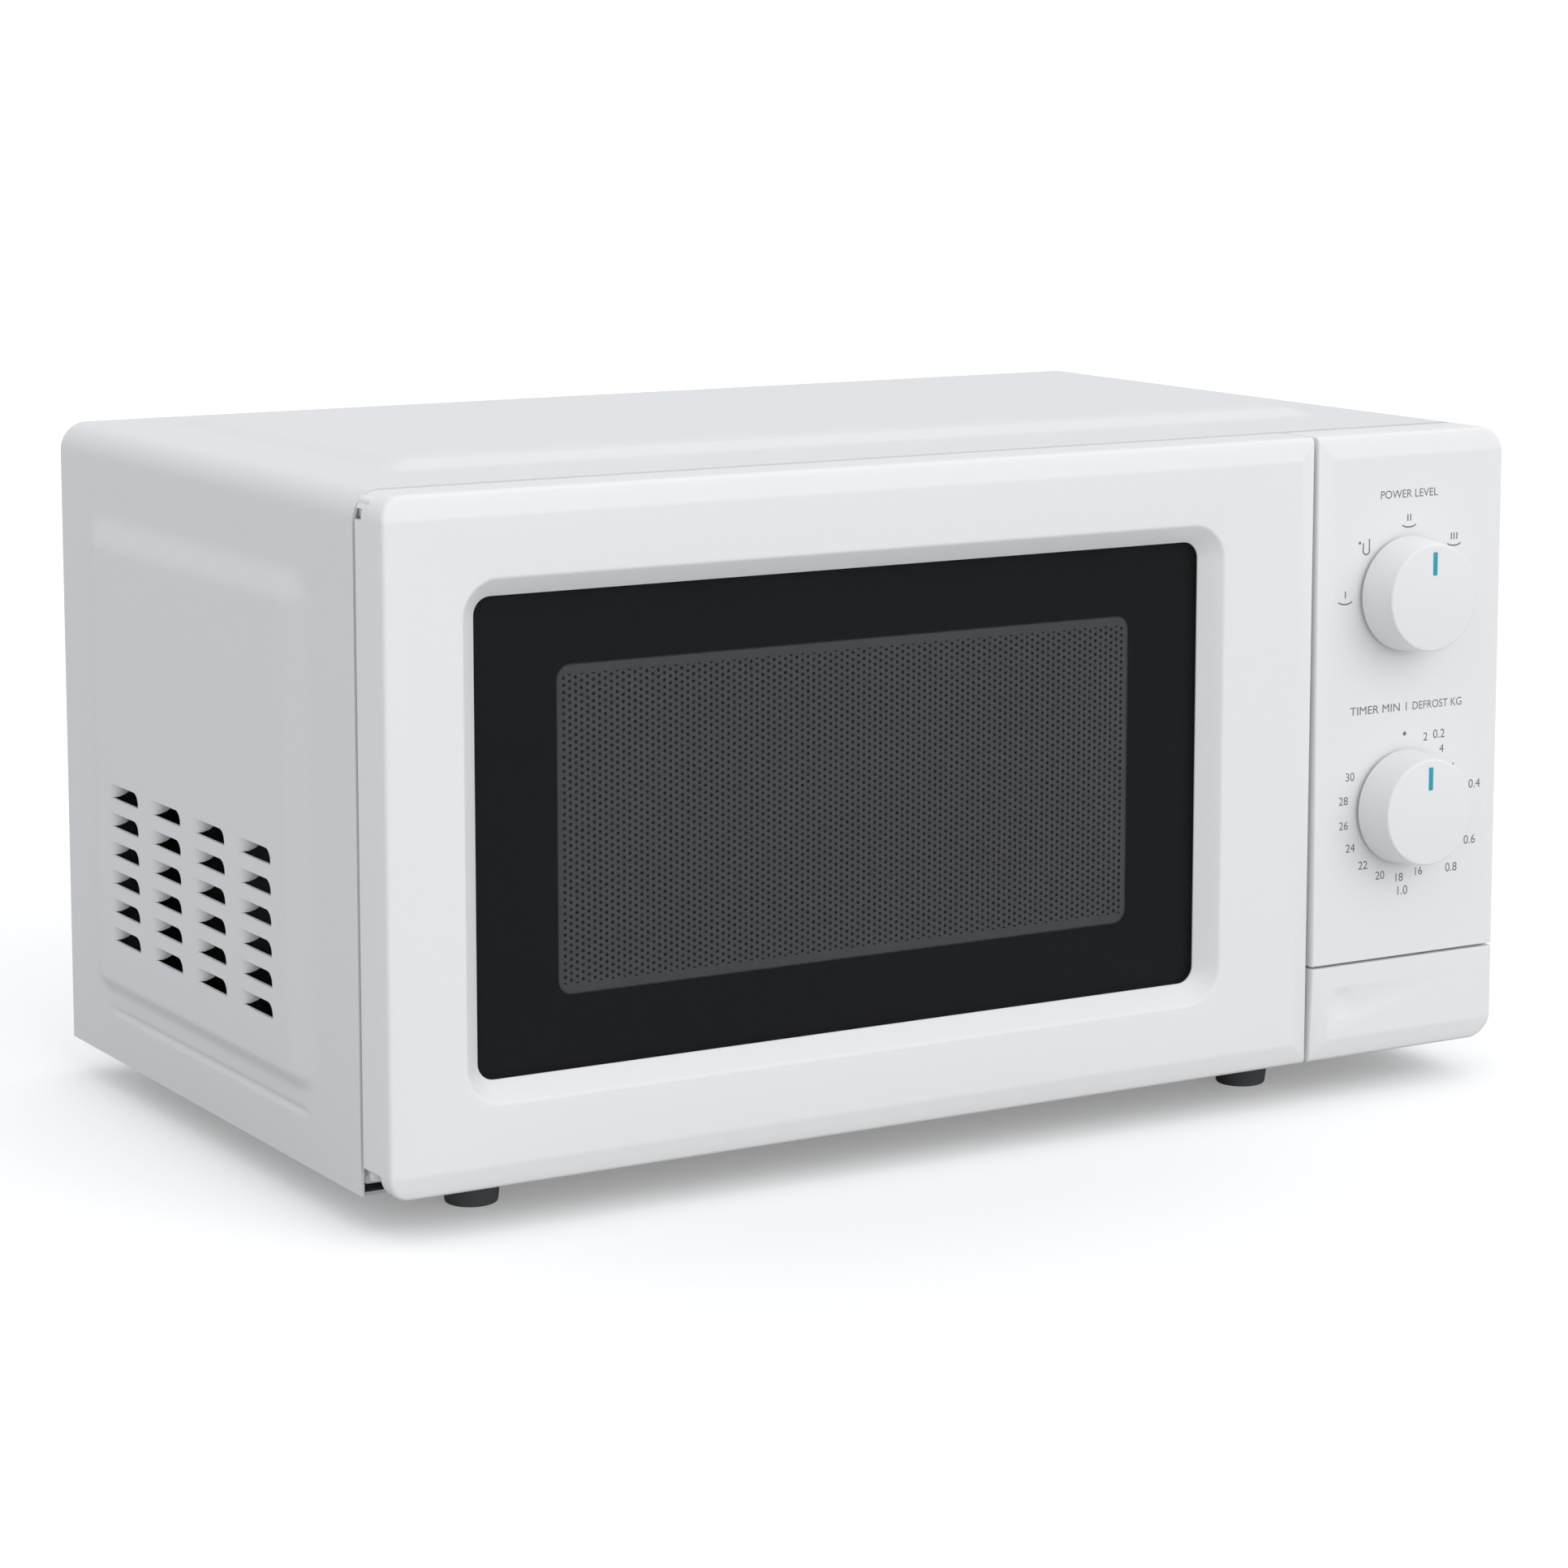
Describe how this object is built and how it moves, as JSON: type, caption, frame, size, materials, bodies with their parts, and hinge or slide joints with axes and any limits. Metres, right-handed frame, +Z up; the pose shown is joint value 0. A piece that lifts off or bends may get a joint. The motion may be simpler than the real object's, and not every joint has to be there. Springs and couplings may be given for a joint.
{
  "type": "microwave oven",
  "caption": "Countertop microwave oven with a left-hinged glazed door, two rotary knobs, a push-to-open button, a turntable and louvred sheet sides.",
  "frame": {"origin": "middle of the bounding box at floor level, under the feet", "axes": "+X along the front towards the control strip, +Y from the door to the back, +Z up"},
  "size_m": [0.4526, 0.3168, 0.2438],
  "materials": {
    "painted_steel": "white powder coat, satin, fine grain",
    "white_plastic": "white moulded plastic, satin gloss",
    "zinc_steel": "zinc-plated sheet",
    "spring_steel": "bright wire",
    "grey_plastic": "matte grey moulding",
    "black_plastic": "matte black moulding",
    "cavity_enamel": "grey epoxy paint, satin",
    "mica": "pressed mica sheet",
    "clear_glass": "clear",
    "clear_plastic": "translucent moulding",
    "black_glass": "black back-printed glass with a clear see-through field",
    "dark_steel": "dark painted perforated steel",
    "blue_plastic": "blue insert",
    "copper": "enamelled copper wire",
    "aluminium": "drawn can",
    "circuit_board": "phenolic board",
    "foot_rubber": "moulded grey rubber"
  },
  "bodies": {
    "oven": {"base_plate": "zinc_steel", "button_spring": "spring_steel", "cavity": "cavity_enamel", "cavity_lamp": "clear_glass", "control_panel": "white_plastic", "cord_gland": "black_plastic", "door_switch_lower": "black_plastic", "door_switch_upper": "black_plastic", "fan_motor": "dark_steel", "fan_shroud": "grey_plastic", "foot_1": "foot_rubber", "foot_2": "foot_rubber", "foot_3": "foot_rubber", "foot_4": "foot_rubber", "front_plate": "painted_steel", "high_voltage_capacitor": "aluminium", "hinge_lower": "painted_steel", "hinge_upper": "painted_steel", "interlock_bracket": "white_plastic", "magnetron": "zinc_steel", "noise_filter_board": "circuit_board", "outer_casing": "painted_steel", "power_selector": "grey_plastic", "rear_air_guide": "grey_plastic", "rear_panel": "zinc_steel", "rear_screw_1": "zinc_steel", "rear_screw_2": "zinc_steel", "rear_screw_3": "zinc_steel", "rear_screw_4": "zinc_steel", "timer_unit": "grey_plastic", "transformer_core": "dark_steel", "transformer_winding": "copper", "turntable_motor": "zinc_steel", "waveguide": "zinc_steel", "waveguide_cover": "mica"},
    "door": {"door_frame": "white_plastic", "door_glass": "black_glass", "door_screen": "dark_steel", "door_inner_film": "clear_glass", "choke_cover": "black_plastic", "latch_spring": "spring_steel"},
    "latch": {"door_latch": "white_plastic"},
    "button": {"release_button": "white_plastic"},
    "lever": {"release_lever": "white_plastic"},
    "power_control": {"power_knob": "white_plastic", "power_pointer": "blue_plastic", "power_shaft": "zinc_steel"},
    "timer_control": {"timer_knob": "white_plastic", "timer_pointer": "blue_plastic", "timer_shaft": "zinc_steel"},
    "turntable": {"turntable_tray": "clear_glass", "turntable_coupler": "white_plastic"},
    "roller_carrier": {"roller_ring": "white_plastic"},
    "wheel_1": {"roller_1": "white_plastic"},
    "wheel_2": {"roller_2": "white_plastic"},
    "wheel_3": {"roller_3": "white_plastic"},
    "fan": {"fan_blade": "clear_plastic"}
  },
  "joints": [
    {"name": "door_hinge", "type": "hinge", "parent": "oven", "child": "door", "pos_m": [-0.2192, -0.12365, 0.1275], "axis": [0, 0, -1], "range_deg": [0, 90]},
    {"name": "latch_lift", "type": "slide", "parent": "door", "child": "latch", "axis": [0, 0, 1], "range_m": [0, 0.003], "stiffness_N_per_m": 120, "springref_m": -0.003, "deforming": ["latch_spring"]},
    {"name": "button_press", "type": "slide", "parent": "oven", "child": "button", "axis": [0, 1, 0], "range_m": [0, 0.004], "stiffness_N_per_m": 400, "springref_m": -0.002, "deforming": ["button_spring"]},
    {"name": "lever_turn", "type": "hinge", "parent": "oven", "child": "lever", "pos_m": [0.143, -0.10165, 0.06], "axis": [1, 0, 0], "range_deg": [0, 9.2]},
    {"name": "power_turn", "type": "hinge", "parent": "oven", "child": "power_control", "pos_m": [0.1793, -0.14165, 0.1829], "axis": [0, 1, 0], "range_deg": [-92, 46]},
    {"name": "timer_turn", "type": "hinge", "parent": "oven", "child": "timer_control", "pos_m": [0.1793, -0.14165, 0.1055], "axis": [0, 1, 0], "range_deg": [0, 298]},
    {"name": "turntable_spin", "type": "hinge", "parent": "oven", "child": "turntable", "pos_m": [-0.048, 0.00185, 0.046], "axis": [0, 0, 1], "continuous": true},
    {"name": "carrier_spin", "type": "hinge", "parent": "oven", "child": "roller_carrier", "pos_m": [-0.048, 0.00185, 0.0398], "axis": [0, 0, 1], "continuous": true},
    {"name": "wheel_1_roll", "type": "hinge", "parent": "roller_carrier", "child": "wheel_1", "pos_m": [0.0465, 0.00185, 0.0398], "axis": [1, 0, 0], "continuous": true},
    {"name": "wheel_2_roll", "type": "hinge", "parent": "roller_carrier", "child": "wheel_2", "pos_m": [-0.09525, 0.08369, 0.0398], "axis": [-0.5, 0.866, 0], "continuous": true},
    {"name": "wheel_3_roll", "type": "hinge", "parent": "roller_carrier", "child": "wheel_3", "pos_m": [-0.09525, -0.07999, 0.0398], "axis": [-0.5, -0.866, 0], "continuous": true},
    {"name": "fan_spin", "type": "hinge", "parent": "oven", "child": "fan", "pos_m": [0.16, 0.10835, 0.13], "axis": [0, 1, 0], "continuous": true}
  ],
  "couplings": [
    {"joint": "lever_turn", "follows": "button_press", "rad_per_m": 40},
    {"joint": "carrier_spin", "follows": "turntable_spin", "ratio": 0.5},
    {"joint": "wheel_1_roll", "follows": "turntable_spin", "ratio": -7.2692},
    {"joint": "wheel_2_roll", "follows": "turntable_spin", "ratio": -7.2692},
    {"joint": "wheel_3_roll", "follows": "turntable_spin", "ratio": -7.2692}
  ]
}
